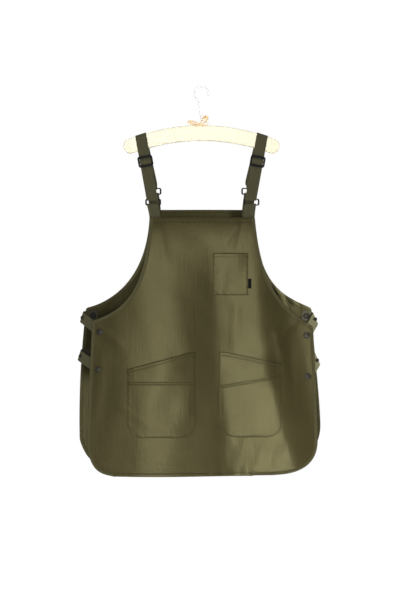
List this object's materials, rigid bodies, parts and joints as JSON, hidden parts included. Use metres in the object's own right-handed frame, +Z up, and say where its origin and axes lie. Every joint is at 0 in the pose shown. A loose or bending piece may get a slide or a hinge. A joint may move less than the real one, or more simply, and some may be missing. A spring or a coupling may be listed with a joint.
{
  "type": "waterproof apron on a clothes hanger",
  "caption": "Olive waterproof work apron, front and back panels joined by side tabs, with pockets and adjustable straps, hung on a plain wooden hanger.",
  "frame": {"origin": "inner crown of the hanger hook, where it sits on a rail", "axes": "+Z up, the front of the apron faces -Y, +X to the right of someone looking at the front"},
  "size_m": [0.6404, 0.0876, 1.0324],
  "materials": {
    "cloth": "matt coated olive cloth",
    "edge_tape": "matt light olive tape",
    "webbing": "matt woven olive webbing",
    "black_plastic": "satin black",
    "snap_metal": "dark gunmetal",
    "label_black": "matt black",
    "pale_wood": "clear matt varnish",
    "steel_wire": "bright",
    "twine": "matt"
  },
  "bodies": {
    "root": {"front_panel": "cloth", "back_panel": "cloth", "front_binding_left": "edge_tape", "front_binding_right": "edge_tape", "back_binding_left": "edge_tape", "back_binding_right": "edge_tape", "hip_pocket_left": "cloth", "hip_pocket_right": "cloth", "chest_pocket": "cloth", "chest_label": "label_black", "hanger_bar": "pale_wood", "hanger_hook": "steel_wire", "hanger_bow": "twine", "strap_left": "webbing", "slider_left": "black_plastic", "front_ring_left": "black_plastic", "front_loop_left": "webbing", "back_ring_left": "black_plastic", "back_loop_left": "webbing", "strap_right": "webbing", "slider_right": "black_plastic", "front_ring_right": "black_plastic", "front_loop_right": "webbing", "back_ring_right": "black_plastic", "back_loop_right": "webbing", "side_tab_upper_left": "webbing", "tab_stud_upper_left": "snap_metal", "front_snap_upper_left": "snap_metal", "back_snap_upper_left": "snap_metal", "side_tab_lower_left": "webbing", "tab_stud_lower_left": "snap_metal", "front_snap_lower_left": "snap_metal", "back_snap_lower_left": "snap_metal", "side_tab_upper_right": "webbing", "tab_stud_upper_right": "snap_metal", "front_snap_upper_right": "snap_metal", "back_snap_upper_right": "snap_metal", "side_tab_lower_right": "webbing", "tab_stud_lower_right": "snap_metal", "front_snap_lower_right": "snap_metal", "back_snap_lower_right": "snap_metal"}
  },
  "joints": []
}
